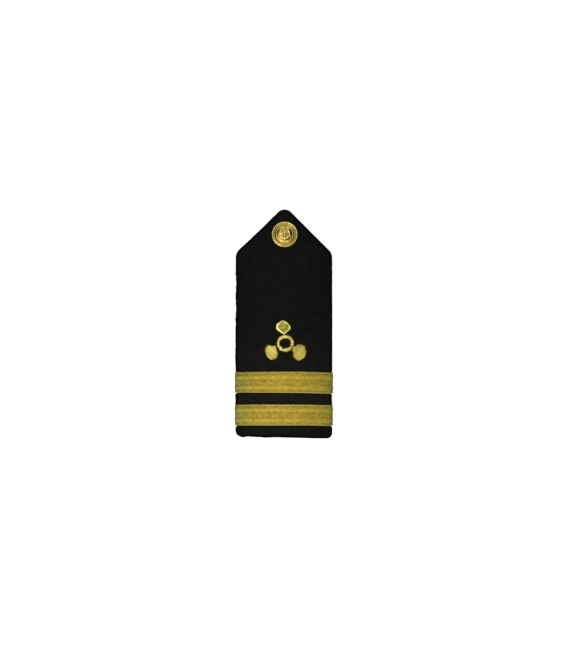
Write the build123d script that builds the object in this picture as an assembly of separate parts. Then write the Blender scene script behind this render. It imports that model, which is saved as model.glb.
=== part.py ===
"""A stiff, cloth-covered shoulder board, worn on a coat's shoulder and lying here on its underside.

Lengths are in millimetres. X runs across the board, Y along it towards the pointed end, and Z up. The
origin is under the middle of the board, on the surface that it lies on. The board is gently arched along its
length and crowned across its width. A piece that lies over or under it is drawn where the arch is highest,
with Z = 0 at the board's underside, and is then turned along the arch to its station.
"""

from build123d import *

import math
import os

# The cloth-covered board
board_length = 136.0
shoulder_width = 57.0  # across the corners where the point begins
square_end_flare = 0.5  # the square end is this much wider
board_thickness = 4.2  # at the middle of its width
crown_rise = 1.5  # how much thinner it is at the sides
arch_radius = 620.0  # of the underside, along the board
point_length = 28.3  # from the shoulder corners to where the point's two sides would meet
point_offset = 0.4  # the point leans this far to the right
point_round = 5.4
shoulder_round = 6.0
left_end_round = 3.9
right_end_round = 3.1
end_slant = 1.2  # the square end is this much shorter at its left corner
top_rim_round = 1.1
under_rim_round = 0.8

# The two lace stripes, wrapped over the board and turned under its edges
lace_width = 12.7
lace_base = 0.85  # thickness between its ridges
lace_ridge_height = 0.3
lace_bed_depth = 0.75  # the pulled lace presses this far into the padded cloth
lace_bend = 0.4  # inner radius where the bed goes round the board's corners
lace_turn_under = 7.5  # how far each end reaches in from the board's side
lace_from_end = 14.2  # from the square end to the lower stripe's middle
lace_spacing = 19.35  # from middle to middle

# The embroidered propeller
embroidery_height = 1.1
embroidery_round = 0.55
hub_x = 0.8
hub_above_lace = 23.1  # from the upper stripe's middle to the hub's
hub_outer_diameter = 10.1
hub_inner_diameter = 6.2
side_blade_width = 10.5  # along the hub's edge
side_blade_length = 8.0  # away from the hub
side_blade_reach = 10.0  # from the hub's middle to the blade's
side_blade_turn = 123.0  # degrees from straight up to each side blade's direction
top_blade_width = 9.5
top_blade_length = 9.2
top_blade_reach = 9.55
top_blade_lean = 7.0  # degrees to the left of straight up
top_blade_corner = 0.9

# The gilt button, and the post soldered below it
button_diameter = 15.2
button_rim_height = 1.7
button_ring_height = 0.4  # of the rings that stand up from the rim
button_dome_height = 2.9
button_field_diameter = 9.6
button_edge_round = 0.7
button_to_tip = 15.0
post_diameter = 3.0
post_hole_clearance = 0.3
post_below_eye = 0.6
eye_clearance = 0.1

# The button's raised figure: an anchor between two sprays of leaves
relief_height = 0.4
anchor_length = 6.4
anchor_bar = 0.7  # width of its shank, stock and arms
anchor_stock_length = 2.8
anchor_ring_diameter = 1.6
anchor_arm_radius = 1.7
anchor_arm_turn = 65.0  # degrees from the crown to each arm's end
anchor_fluke = 0.8
spray_radius = 3.1
spray_start = 30.0  # degrees from straight down
spray_end = 125.0
leaf_pairs = 6
leaf_length = 1.3
leaf_width = 0.58
leaf_splay = 34.0  # degrees that each leaf turns off the spray's line

# The hairpin through the post's eye, which holds the post under the strap
hairpin_wire_diameter = 1.0
hairpin_leg_length = 7.5
hairpin_end_length = 3.5  # how far the free end reaches back past the post

# The backing panel and the fastening strap, under the board
backing_thickness = 1.0
backing_margin = 8.2
strap_width = 25.4
strap_thickness = 1.4
strap_end_margin = 6.0  # from the square end to the strap's sewn end
strap_inset = 4.5  # the strap's free end keeps this far inside the board's point
strap_point_round = 4.0

# Gaps between neighbouring pieces
cloth_gap = 0.1
metal_gap = 0.15

# Lengths that follow from those above
half_length = board_length / 2
half_square_end = (shoulder_width + square_end_flare) / 2
lower_lace_y = -half_length + lace_from_end
upper_lace_y = lower_lace_y + lace_spacing
hub_y = upper_lace_y + hub_above_lace
button_radius = button_diameter / 2
button_y = half_length - button_to_tip
backing_low = -cloth_gap - backing_thickness
strap_high = backing_low - cloth_gap
strap_low = strap_high - strap_thickness
strap_start = -half_length + strap_end_margin
eye_diameter = hairpin_wire_diameter + 2 * eye_clearance
hairpin_z = strap_low - metal_gap - hairpin_wire_diameter / 2
post_low = hairpin_z - eye_diameter / 2 - post_below_eye
wide = 1.5 * max(shoulder_width, 2 * half_square_end)  # wider than the whole board
tall = 10 * board_thickness  # taller than the whole board
standing = (Align.CENTER, Align.CENTER, Align.MIN)  # a shape that stands on its own Z = 0

# The point's two straight sides run on to meet here, past the round between them
point_slope = math.atan2(shoulder_width / 2, point_length)
point_y = half_length + point_round * (1 / math.sin(point_slope) - 1)
shoulder_y = point_y - point_length

# The board lies on the strap's sewn end and on the post, which sets where along it the arch is highest
post_depth = 2 * arch_radius * (strap_low - post_low)
arch_y = (button_y**2 - strap_start**2 + post_depth) / (2 * (button_y - strap_start))
arch_span = 2 * math.degrees(math.asin((half_length + abs(arch_y)) / arch_radius)) + 2

# The circle that the crowned top follows across the board
crown_radius = (half_square_end**2 + crown_rise**2) / (2 * crown_rise)
crown_centre = board_thickness - crown_radius


def half_width(y):
    """Half of the board's width at station y, behind the shoulder corners."""
    share = (shoulder_y - y) / (shoulder_y + half_length)
    return (shoulder_width + share * square_end_flare) / 2


def closed_face(lines, plane=Plane.XZ):
    """The face that these lines enclose, drawn on a plane."""
    return make_face(plane * Wire([edge for line in lines for edge in line.edges()]))


def ridge_line(start, end, base, ridges):
    """A line from start to end at a base height, with a round ridge at each (middle, width, height)."""
    lines = []
    last = start
    for middle, width, height in ridges:
        left, right = middle - width / 2, middle + width / 2
        lines.append(Line((last, base), (left, base)))
        lines.append(ThreePointArc((left, base), (middle, base + height), (right, base)))
        last = right
    lines.append(Line((last, base), (end, base)))
    return lines


def arched(section):
    """Sweeps a section of the XZ plane along the whole arch."""
    axis = Axis((0, 0, -arch_radius), (1, 0, 0))
    return Pos(0, arch_y, 0) * revolve(section.rotate(axis, arch_span / 2), axis, -arch_span)


def along_arch(shape, y):
    """Takes a shape from where the arch is highest to station y of the board's top."""
    turn = math.degrees(math.asin((y - arch_y) / (arch_radius + board_thickness)))
    return Pos(0, arch_y, -arch_radius) * Rot(X=-turn) * Pos(0, 0, arch_radius) * shape


def flat_layer(low, high):
    """The arched layer between two heights over the underside, flat across the width."""
    return arched(closed_face([Polyline((-wide, low), (wide, low), (wide, high), (-wide, high), close=True)]))


def under_crown(raised=0.0, low=0.0):
    """Everything from a low height up to the crowned top, or to a surface raised over it."""
    radius = crown_radius + raised
    end_z = crown_centre + math.sqrt(radius**2 - wide**2 / 4)
    top = ThreePointArc((-wide / 2, end_z), (0, crown_centre + radius), (wide / 2, end_z))
    under = Polyline((wide / 2, end_z), (wide / 2, low), (-wide / 2, low), (-wide / 2, end_z))
    return arched(closed_face([top, under]))


def prism(face):
    """The upright column that has this outline from above."""
    return Pos(0, 0, -tall) * extrude(face, 2 * tall)


def rounded_rim(body, radius, side):
    """Rounds the edges of a body's broad face that looks up, for a side of 1, or down, for -1."""
    faces = [face for face in body.faces() if side * face.normal_at(face.center()).Z > 0.9]
    return fillet(max(faces, key=lambda face: face.area).edges(), radius)


def rounded_outline(corners):
    """The face with these corners, each of them (x, y, radius). A radius of 0 leaves a corner square."""
    outline = make_face(Polyline(*[(x, y) for x, y, _ in corners], close=True))
    for x, y, radius in corners:
        if radius > 0:
            outline = fillet(outline.vertices().sort_by_distance((x, y, 0))[0], radius)
    return outline


def board_outline():
    """The board from above: a square end, nearly parallel sides and a rounded point."""
    return rounded_outline(
        [
            (-half_square_end, -half_length + end_slant, left_end_round),
            (half_square_end, -half_length, right_end_round),
            (shoulder_width / 2, shoulder_y, shoulder_round),
            (point_offset, point_y, point_round),
            (-shoulder_width / 2, shoulder_y, shoulder_round),
        ]
    )


def strap_outline():
    """The strap from above: cut square at its sewn end, with a point that follows the board's."""
    half = strap_width / 2
    tip_y = point_y - strap_inset / math.sin(point_slope)
    side_y = tip_y - half / math.tan(point_slope)
    return rounded_outline(
        [
            (point_offset - half, strap_start, 0),
            (point_offset + half, strap_start, 0),
            (point_offset + half, side_y, strap_point_round),
            (point_offset, tip_y, strap_point_round),
            (point_offset - half, side_y, strap_point_round),
        ]
    )


def lace_path(inset):
    """The line that the lace follows round the board's section, inset from the cloth."""
    side = half_width((upper_lace_y + lower_lace_y) / 2)
    upright_x = side - inset
    bend = lace_bend + lace_bed_depth - inset
    bend_x = upright_x - bend
    # Each upper bend touches the upright side and, from within, the circle of the crown
    radius = crown_radius - inset
    slope = math.acos(bend_x / (radius - bend))
    bend_z = crown_centre + (radius - bend) * math.sin(slope)
    crown_x = radius * math.cos(slope)
    crown_z = crown_centre + radius * math.sin(slope)
    lines = [ThreePointArc((-crown_x, crown_z), (0, crown_centre + radius), (crown_x, crown_z))]
    for sign, outward in ((-1, 180), (1, 0)):
        lines += [
            Line((sign * (side - lace_turn_under), inset), (sign * bend_x, inset)),
            CenterArc((sign * bend_x, inset + bend), bend, outward, -sign * 90),
            Line((sign * upright_x, inset + bend), (sign * upright_x, bend_z)),
            CenterArc((sign * bend_x, bend_z), bend, outward, sign * math.degrees(slope)),
        ]
    return Plane.XZ * Wire([edge for line in lines for edge in line.edges()])


# The lace's ridges: middles and widths as shares of lace_width, heights as shares of lace_ridge_height
lace_ridges = [
    {"name": "selvage", "middle": -0.45, "width": 0.08, "height": 0.6},
    {"name": "rib", "middle": -0.235, "width": 0.2, "height": 1.0},
    {"name": "centre band", "middle": 0.0, "width": 0.24, "height": 0.45},
    {"name": "rib", "middle": 0.235, "width": 0.2, "height": 1.0},
    {"name": "selvage", "middle": 0.45, "width": 0.08, "height": 0.6},
]


def lace_section():
    """The lace's own section: flat against the cloth, ridged on the outside."""
    edge = lace_width / 2
    ridges = [
        (lace_width * ridge["middle"], lace_width * ridge["width"], lace_ridge_height * ridge["height"])
        for ridge in lace_ridges
    ]
    foot = Polyline((-edge, lace_base), (-edge, 0), (edge, 0), (edge, lace_base))
    return closed_face([foot, *ridge_line(-edge, edge, lace_base, ridges)], Plane.XY)


def wrapped(section, inset, y):
    """Takes a section, with its foot on the lace's line, round the board at station y."""
    path = lace_path(inset)
    start = path @ 0
    foot = Plane(origin=start, x_dir=(0, 1, 0), z_dir=path % 0)
    if foot.y_dir.Z > 0:
        foot = Plane(origin=start, x_dir=(0, -1, 0), z_dir=path % 0)
    return along_arch(sweep(foot * section, path=path), y)


def lace(y):
    """One lace stripe."""
    return wrapped(lace_section(), lace_bed_depth - cloth_gap, y)


def lace_bed(y):
    """The room that one lace stripe presses into the board."""
    reach = lace_width / 2 + cloth_gap
    depth = 2 * lace_bed_depth
    room = closed_face([Polyline((-reach, 0), (reach, 0), (reach, depth), (-reach, depth), close=True)], Plane.XY)
    return wrapped(room, lace_bed_depth, y)


def at_button(shape):
    """Takes a shape that is drawn round the button's own axis to the button's place."""
    return along_arch(Pos(point_offset, 0) * shape, button_y)


def post_hole():
    """The hole that the post needs through the board, the backing and the strap."""
    return at_button(Cylinder(post_diameter / 2 + post_hole_clearance, 2 * tall))


def board():
    """The cloth-covered board, with the lace's beds and the post's hole."""
    body = under_crown() & prism(board_outline())
    body = rounded_rim(body, top_rim_round, 1)
    body = rounded_rim(body, under_rim_round, -1)
    return body - lace_bed(upper_lace_y) - lace_bed(lower_lace_y) - post_hole()


def backing():
    """The plain panel that closes the underside, between the turned ends of the lace."""
    panel = flat_layer(backing_low, -cloth_gap) & prism(offset(board_outline(), -backing_margin))
    return panel - post_hole()


def strap():
    """The strap that passes through a coat's loops, sewn on at the square end and held by the post."""
    return (flat_layer(strap_low, strap_high) & prism(strap_outline())) - post_hole()


def embroidered(outline):
    """An embroidered pad of this outline on the crowned cloth, rounded at its edges."""
    pad = (under_crown(embroidery_height) & prism(outline)) - under_crown(cloth_gap, -board_thickness)
    return rounded_rim(pad, embroidery_round, 1)


def propeller_hub():
    """The embroidered ring at the propeller's middle."""
    ring = Circle(hub_outer_diameter / 2) - Circle(hub_inner_diameter / 2)
    return embroidered(Pos(hub_x, hub_y) * ring)


def blade(outline, reach, turn):
    """An embroidered blade, turned so that it points away from the hub."""
    return embroidered(Pos(hub_x, hub_y) * Rot(Z=turn) * Pos(0, reach) * outline)


# The corners of the top blade, from the hub outwards, as shares of half its width and half its length
top_blade_corners = [
    {"name": "foot", "across": 0.0, "along": -1.0},
    {"name": "right shoulder", "across": 1.0, "along": 0.0},
    {"name": "right brow", "across": 0.62, "along": 0.62},
    {"name": "head", "across": 0.0, "along": 1.0},
    {"name": "left brow", "across": -0.62, "along": 0.62},
    {"name": "left shoulder", "across": -1.0, "along": 0.0},
]


def top_blade():
    """The top blade: a rounded kite with its narrow corner at the hub."""
    kite = rounded_outline(
        [
            (corner["across"] * top_blade_width / 2, corner["along"] * top_blade_length / 2, top_blade_corner)
            for corner in top_blade_corners
        ]
    )
    return blade(kite, top_blade_reach, top_blade_lean)


def side_blade(side):
    """One side blade, left for 1 and right for -1: an oval that is broad along the hub's edge."""
    oval = Ellipse(side_blade_width / 2, side_blade_length / 2)
    return blade(oval, side_blade_reach, side * side_blade_turn)


# The rings round the button's face: middles and widths as shares of button_radius, heights as shares of
# button_ring_height
button_rings = [
    {"name": "bead ring", "middle": 0.655, "width": 0.07, "height": 1.0},
    {"name": "broad ring", "middle": 0.815, "width": 0.12, "height": 0.9},
    {"name": "outer roll", "middle": 0.935, "width": 0.11, "height": 0.8},
]


def dome(raised=0.0):
    """The ball whose top is the button's domed field, raised over the shell. Its poles lie to the sides."""
    edge = button_field_diameter / 2
    rise = button_dome_height - button_rim_height
    radius = (edge**2 + rise**2) / (2 * rise)
    return Pos(0, 0, button_dome_height + raised - radius) * Rot(Y=90) * Sphere(radius)


def button_shell():
    """The turned shell of the button with its domed field, standing on Z = 0."""
    rings = [
        (button_radius * ring["middle"], button_radius * ring["width"], button_ring_height * ring["height"])
        for ring in button_rings
    ]
    foot = button_radius - button_edge_round
    lines = [
        Polyline((0, button_rim_height), (0, 0), (foot, 0)),
        CenterArc((foot, button_edge_round), button_edge_round, -90, 90),
        Line((button_radius, button_edge_round), (button_radius, button_rim_height)),
        *ridge_line(0, button_radius, button_rim_height, rings),
    ]
    column = Cylinder(button_field_diameter / 2, button_dome_height, align=standing)
    return revolve(closed_face(lines), Axis.Z) + (dome() & Pos(0, 0, button_rim_height / 2) * column)


def anchor():
    """A plain upright anchor, as a list of faces round the button's middle."""
    top = anchor_length / 2
    ring_radius = anchor_ring_diameter / 2
    ring_bar = anchor_bar / 2
    shank_top = top - anchor_ring_diameter + ring_bar / 2
    arm_y = anchor_arm_radius + anchor_bar / 2 - top
    arms = Circle(anchor_arm_radius + anchor_bar / 2) - Circle(anchor_arm_radius - anchor_bar / 2)
    turn = math.radians(anchor_arm_turn)
    end_x = anchor_arm_radius * math.sin(turn)
    end_y = -anchor_arm_radius * math.cos(turn)
    below_ends = Pos(0, end_y - anchor_arm_radius) * Rectangle(4 * anchor_arm_radius, 2 * anchor_arm_radius)
    faces = [
        Pos(0, top - ring_radius) * (Circle(ring_radius) - Circle(ring_radius - ring_bar)),
        Pos(0, (shank_top - top) / 2) * Rectangle(anchor_bar, shank_top + top),
        Pos(0, shank_top - anchor_bar) * Rectangle(anchor_stock_length, anchor_bar),
        Pos(0, arm_y) * (arms & below_ends),
    ]
    for sign in (-1, 1):
        heading = 90 - sign * (90 - anchor_arm_turn)
        faces.append(Pos(sign * end_x, arm_y + end_y) * RegularPolygon(anchor_fluke, 3, rotation=heading))
    return faces


def leaf_sprays():
    """Two sprays of paired leaves that curve up beside the anchor, as a list of faces."""
    leaf = Pos(0, leaf_length / 2) * Ellipse(leaf_width / 2, leaf_length / 2)
    step = (spray_end - spray_start) / (leaf_pairs - 1)
    faces = []
    for index in range(leaf_pairs):
        turn = spray_start + index * step
        for splay in (-leaf_splay, leaf_splay):
            right_leaf = Rot(Z=turn) * Pos(0, -spray_radius) * Rot(Z=splay - 90) * leaf
            faces += [right_leaf, mirror(right_leaf, Plane.YZ)]
    return faces


def button_relief():
    """The raised figure on the button's domed field, rooted halfway down the rim."""
    figure = Part() + [extrude(face, 2 * button_dome_height) for face in [*anchor(), *leaf_sprays()]]
    return dome(relief_height) & Pos(0, 0, button_rim_height / 2) * figure


def button():
    """The gilt button: shell, raised figure and post, soldered into one piece."""
    face = Pos(0, 0, board_thickness + cloth_gap) * (button_shell() + button_relief())
    post_length = board_thickness + cloth_gap + button_rim_height / 2 - post_low
    post = Pos(0, 0, post_low) * Cylinder(post_diameter / 2, post_length, align=standing)
    eye = Pos(0, 0, hairpin_z) * Rot(Y=90) * Cylinder(eye_diameter / 2, 2 * post_diameter)
    return at_button(face + post - eye)


def hairpin():
    """The wire hairpin: one leg through the post's eye, the other beside the post."""
    leg = hairpin_leg_length
    bend = (post_diameter / 2 + metal_gap + hairpin_wire_diameter / 2) / 2
    lines = [
        Line((-leg, 0), (leg, 0)),
        CenterArc((leg, bend), bend, -90, 180),
        Line((leg, 2 * bend), (-hairpin_end_length, 2 * bend)),
    ]
    path = Wire([edge for line in lines for edge in line.edges()])
    section = Plane(origin=(-leg, 0, 0), z_dir=(1, 0, 0)) * Circle(hairpin_wire_diameter / 2)
    return at_button(Pos(0, 0, hairpin_z) * sweep(section, path=path))


pieces = {
    "board": board(),
    "backing": backing(),
    "upper_lace": lace(upper_lace_y),
    "lower_lace": lace(lower_lace_y),
    "propeller_hub": propeller_hub(),
    "top_blade": top_blade(),
    "left_blade": side_blade(1),
    "right_blade": side_blade(-1),
    "button": button(),
    "hairpin": hairpin(),
    "strap": strap(),
}

# The lowest piece stands on Z = 0
floor_z = min(piece.bounding_box().min.Z for piece in pieces.values())
os.makedirs("parts", exist_ok=True)
for name, piece in pieces.items():
    export_step(Pos(0, 0, -floor_z) * piece, f"parts/{name}.step")
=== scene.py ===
import math

import bmesh
import bpy
import numpy as np
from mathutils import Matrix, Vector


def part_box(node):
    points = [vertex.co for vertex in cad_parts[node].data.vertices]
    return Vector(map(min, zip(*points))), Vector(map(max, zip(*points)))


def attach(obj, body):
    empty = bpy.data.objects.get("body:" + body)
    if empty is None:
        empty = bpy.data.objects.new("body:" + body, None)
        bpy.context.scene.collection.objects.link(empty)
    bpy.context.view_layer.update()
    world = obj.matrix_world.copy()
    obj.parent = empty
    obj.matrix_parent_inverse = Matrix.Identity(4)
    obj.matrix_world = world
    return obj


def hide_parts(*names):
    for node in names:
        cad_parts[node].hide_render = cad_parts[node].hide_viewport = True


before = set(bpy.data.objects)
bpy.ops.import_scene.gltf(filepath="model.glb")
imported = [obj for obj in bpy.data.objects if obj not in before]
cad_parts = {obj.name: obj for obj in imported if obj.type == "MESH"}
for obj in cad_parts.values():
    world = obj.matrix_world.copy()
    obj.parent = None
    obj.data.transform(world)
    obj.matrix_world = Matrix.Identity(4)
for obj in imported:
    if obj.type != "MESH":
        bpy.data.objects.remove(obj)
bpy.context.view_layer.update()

# A shoulder board seen from straight above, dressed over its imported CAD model.
# Lengths are in millimetres until a mesh is made. X runs across the board, Y along it, and Z up.

# The cloth-covered board
board_length = 136.0
shoulder_width = 57.0
square_end_flare = 0.5
left_lean = 0.2  # how far the square end's middle lies to the left
board_thickness = 4.2
crown_rise = 1.5
arch_radius = 620.0
point_length = 28.3
point_offset = 0.4
point_round = 5.4
shoulder_round = 6.0
left_end_round = 3.9
right_end_round = 3.1
end_slant = 1.2
top_rim_round = 1.1
under_rim_round = 0.8
cloth_nap = 0.08  # stands out past the modelled edge

# The lace
lace_width = 12.7
woven_width = 12.4  # between its selvages' outer threads
lace_base = 0.85
lace_bed_depth = 0.75
lace_inset = 0.65
lace_bend = 0.4
lace_turn_under = 7.5
lower_lace_y = -53.8
upper_lace_y = -34.45
weft_pitch = 0.45

# The embroidery
hub_x = 0.8
hub_y = -11.35
hub_hole_radius = 3.2
hub_rim_radius = 5.0
embroidery_reach = 18.0
thread_pitch = 0.42

# The button
button_y = 53.0
button_radius = 7.45
button_base = 4.3
button_rim_height = 1.7
button_dome_height = 2.9
button_field_radius = 4.8
button_edge_round = 0.7
relief_height = 0.4
post_radius = 1.5
post_low = -4.45
eye_height = -3.25
eye_radius = 0.6

# The strap and the backing
post_hole_radius = 1.8
backing_margin = 8.2
backing_low = -1.1
backing_high = -0.1
strap_width = 25.4
strap_low = -2.6
strap_high = -1.2
strap_start = -62.0
strap_inset = 4.5
strap_point_round = 4.0

# The view
photo_rows = 649
mm_a_pixel = 0.5923  # a millimetre under the board's highest point
view_y = -0.21

half_length = board_length / 2
half_square_end = (shoulder_width + square_end_flare) / 2
point_slope = math.atan2(shoulder_width / 2, point_length)
point_y = half_length + point_round * (1 / math.sin(point_slope) - 1)
shoulder_y = point_y - point_length
crown_radius = (half_square_end**2 + crown_rise**2) / (2 * crown_rise)
crown_centre = board_thickness - crown_radius
post_depth = 2 * arch_radius * (strap_low - post_low)
arch_y = (button_y**2 - strap_start**2 + post_depth) / (2 * (button_y - strap_start))

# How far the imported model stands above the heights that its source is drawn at
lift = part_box("board")[1].z * 1000 - board_thickness


# Shapes that everything else is built on


def crown(x):
    """The height of the crowned top over the underside, at x millimetres from the middle."""
    return crown_centre + np.sqrt(crown_radius**2 - x**2)


def on_arch(x, y, height):
    """Points (x, y) at a height over the arched underside, as an array of points."""
    z = lift - arch_radius + np.sqrt((arch_radius + height) ** 2 - (y - arch_y) ** 2)
    return np.stack(np.broadcast_arrays(x, y, z), axis=-1)


def at_station(x, along, z, y):
    """Takes points drawn where the arch is highest to station y, tilted as the arch is there."""
    turn = math.asin((y - arch_y) / (arch_radius + board_thickness))
    reach = z + arch_radius
    new_y = arch_y + along * math.cos(turn) + reach * math.sin(turn)
    new_z = lift - arch_radius + reach * math.cos(turn) - along * math.sin(turn)
    return np.stack(np.broadcast_arrays(x, new_y, new_z), axis=-1)


def leaned(points):
    """Moves points to the left, the more the nearer they are to the square end."""
    share = np.clip((shoulder_y - points[..., 1]) / (shoulder_y + half_length), 0, 1)
    points[..., 0] -= left_lean * share
    return points


def half_width(y):
    """Half of the board's width at station y, behind the shoulders."""
    share = (shoulder_y - y) / (shoulder_y + half_length)
    return (shoulder_width + share * square_end_flare) / 2


def soft_noise(u, v, cell, seed):
    """Smooth random values from -1 to 1 that change over about one cell."""
    size = 256
    lattice = np.random.default_rng(seed).uniform(-1, 1, (size, size))
    u, v = np.broadcast_arrays(u / cell, v / cell)
    i, j = np.floor(u).astype(int), np.floor(v).astype(int)
    a, b = u - i, v - j
    a, b = a * a * (3 - 2 * a), b * b * (3 - 2 * b)
    near, far = [
        lattice[i % size, row % size] * (1 - a) + lattice[(i + 1) % size, row % size] * a
        for row in (j, j + 1)
    ]
    return near * (1 - b) + far * b


def smooth_step(low, high, value):
    """0 below low, 1 above high, and a smooth rise between them."""
    share = np.clip((value - low) / (high - low), 0, 1)
    return share * share * (3 - 2 * share)


def ridge(distance, half):
    """The rounded height, from 0 to 1, of a ridge this wide at a distance from its middle line."""
    return np.sqrt(np.clip(1 - (distance / half) ** 2, 0, 1))


def whole_turn(count):
    """The angles of so many even steps round a circle."""
    return np.arange(count) * 2 * math.pi / count


def heading(slope):
    """The direction (x, y) at a slope in degrees."""
    return np.array([math.cos(math.radians(slope)), math.sin(math.radians(slope))])


def quarter_turned(ways):
    """Directions (x, y) turned a quarter to the left."""
    return np.stack([-ways[..., 1], ways[..., 0]], axis=-1)


def rounded_loop(corners, step):
    """A closed outline with rounded corners (x, y, radius), as points a step apart, counterclockwise."""
    corners = np.array(corners, float)
    points = []
    for index in range(len(corners)):
        x, y, radius = corners[index]
        here = np.array([x, y])
        back = corners[index - 1][:2] - here
        ahead = corners[(index + 1) % len(corners)][:2] - here
        back /= np.linalg.norm(back)
        ahead /= np.linalg.norm(ahead)
        half_angle = math.acos(np.clip(back @ ahead, -1, 1)) / 2
        middle = here + (back + ahead) / np.linalg.norm(back + ahead) * radius / math.sin(half_angle)
        first = here + back * radius / math.tan(half_angle) - middle
        sweep = math.pi - 2 * half_angle
        for share in np.linspace(0, 1, max(3, int(radius * sweep / step))):
            turn = share * sweep
            points.append(middle + (first * math.cos(turn) + quarter_turned(first) * math.sin(turn)))
    return resampled(np.array(points + points[:1]), step)[:-1]


def lengths_along(line):
    """How far each point of a line is from its start."""
    return np.concatenate([[0], np.cumsum(np.linalg.norm(np.diff(line, axis=0), axis=1))])


def resampled(line, step):
    """Points about a step apart along a line of points, with both of its ends."""
    lengths = lengths_along(line)
    at = np.linspace(0, lengths[-1], max(2, int(round(lengths[-1] / step)) + 1))
    return np.stack([np.interp(at, lengths, line[:, axis]) for axis in range(line.shape[1])], axis=1)


def outward(loop):
    """The outward directions of a closed counterclockwise loop."""
    along = np.roll(loop, -1, axis=0) - np.roll(loop, 1, axis=0)
    along /= np.linalg.norm(along, axis=1)[:, None]
    return -quarter_turned(along)


def off_lace(y, margin):
    """Which of these stations lie clear of both lace stripes by a margin."""
    reach = lace_width / 2 + margin
    return (np.abs(y - lower_lace_y) > reach) & (np.abs(y - upper_lace_y) > reach)


# Meshes


def ring_quads(rings, size):
    """The quads between rings of points, ring after ring."""
    ring, place = np.meshgrid(np.arange(rings - 1), np.arange(size), indexing="ij")
    here = ring * size + place
    after = ring * size + (place + 1) % size
    return np.stack([here, after, after + size, here + size], axis=-1).reshape(-1, 4)


def placed(name, data):
    """A new object in the scene."""
    made = bpy.data.objects.new(name, data)
    bpy.context.scene.collection.objects.link(made)
    return made


def add_piece(name, points, quads, material, stands_for=(), uv=None, tones=None, caps=()):
    """A smooth mesh piece from points in millimetres, riding on the model's one body. Caps are more faces."""
    mesh = bpy.data.meshes.new(name)
    faces = quads.tolist() + [cap.tolist() for cap in caps]
    mesh.from_pydata((points.reshape(-1, 3) / 1000).tolist(), [], faces)
    if uv is not None:
        layer = mesh.uv_layers.new(name="UVMap")
        order = np.concatenate([quads.ravel(), *caps])
        layer.data.foreach_set("uv", uv.reshape(-1, 2)[order].astype(np.float32).ravel())
    for tone_name, values in (tones or {}).items():
        layer = mesh.attributes.new(tone_name, "FLOAT", "POINT")
        layer.data.foreach_set("value", values.astype(np.float32).ravel())
    mesh.validate()
    mesh.shade_smooth()
    mesh.materials.append(material)
    piece = placed(name, mesh)
    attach(piece, "root")
    if stands_for:
        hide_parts(*stands_for)
    return piece


def tubes(lines, radii, sides, flatness):
    """Threads along lines (threads, stations, 3) with radii (threads, stations): points, quads and uv."""
    along = np.gradient(lines, axis=1)
    along /= np.linalg.norm(along, axis=2, keepdims=True) + 1e-12
    across = np.cross(along, [0.0, 0.0, 1.0])
    across /= np.linalg.norm(across, axis=2, keepdims=True) + 1e-12
    up = np.cross(across, along)
    turn = whole_turn(sides)
    wide = across[:, :, None, :] * np.cos(turn)[:, None]
    high = up[:, :, None, :] * np.sin(turn)[:, None] * flatness
    points = lines[:, :, None, :] + (wide + high) * radii[:, :, None, None]
    threads, stations = lines.shape[:2]
    starts = np.arange(threads)[:, None, None] * stations * sides
    quads = (ring_quads(stations, sides) + starts).reshape(-1, 4)
    lengths = np.cumsum(np.linalg.norm(np.diff(lines, axis=1, prepend=lines[:, :1]), axis=2), axis=1)
    uv = np.stack(np.broadcast_arrays(lengths[:, :, None], turn / (2 * math.pi)), axis=-1)
    return points.reshape(-1, 3), quads, uv.reshape(-1, 2)


# Materials


def new_material(name, roughness, metallic=0.0, specular=0.5):
    """A material with its Principled shader, ready for its colour and bump."""
    material = bpy.data.materials.new(name)
    material.use_nodes = True
    settings = {"Roughness": roughness, "Metallic": metallic, "Specular IOR Level": specular}
    for socket, value in settings.items():
        material.node_tree.nodes["Principled BSDF"].inputs[socket].default_value = value
    return material, material.node_tree


def finished(material, colour, normal, roughness=None):
    """The material, with a colour, a normal and perhaps a roughness linked to its shader."""
    tree = material.node_tree
    for socket, output in (("Base Color", colour), ("Normal", normal), ("Roughness", roughness)):
        if output is not None:
            tree.links.new(output, tree.nodes["Principled BSDF"].inputs[socket])
    return material


def feed(tree, socket, value):
    """Gives a socket a plain value or another node's output."""
    if isinstance(value, bpy.types.NodeSocket):
        tree.links.new(value, socket)
    else:
        socket.default_value = value


def node(tree, kind, inputs=None, **settings):
    """A new node. Each of its inputs is a plain value or another node's output."""
    made = tree.nodes.new("ShaderNode" + kind)
    for name, value in settings.items():
        setattr(made, name, value)
    for name, value in (inputs or {}).items():
        feed(tree, made.inputs[name], value)
    return made


def coordinates(tree, kind="Object", scale=(1, 1, 1)):
    """Object coordinates or the mesh's own, scaled."""
    place = node(tree, "TexCoord").outputs[kind]
    return node(tree, "Mapping", {"Vector": place, "Scale": scale}).outputs[0]


def share_along(tree, axis, length):
    """Object coordinates along one axis as a share from 0 to 1 of a length in metres, 0.5 at the origin."""
    place = node(tree, "SeparateXYZ", {"Vector": coordinates(tree)}).outputs[axis]
    return scaled(tree, place, 1 / length, 0.5)


def noise(tree, place, scale, detail=2.0, roughness=0.5):
    """A noise's value at a place."""
    inputs = {"Vector": place, "Scale": scale, "Detail": detail, "Roughness": roughness}
    return node(tree, "TexNoise", inputs).outputs["Fac"]


def scaled(tree, value, times, plus):
    """A value times another, plus a third, each a number or an output."""
    made = node(tree, "Math", operation="MULTIPLY_ADD")
    for socket, number in zip(made.inputs, (value, times, plus)):
        feed(tree, socket, number)
    return made.outputs[0]


def ramp(tree, value, stops):
    """A colour that follows a value through stops of (place, colour)."""
    made = node(tree, "ValToRGB", {"Fac": value})
    elements = made.color_ramp.elements
    while len(elements) < len(stops):
        elements.new(0.5)
    for element, (place, colour) in zip(elements, stops):
        element.position = place
        element.color = (*colour, 1)
    return made.outputs["Color"]


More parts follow.
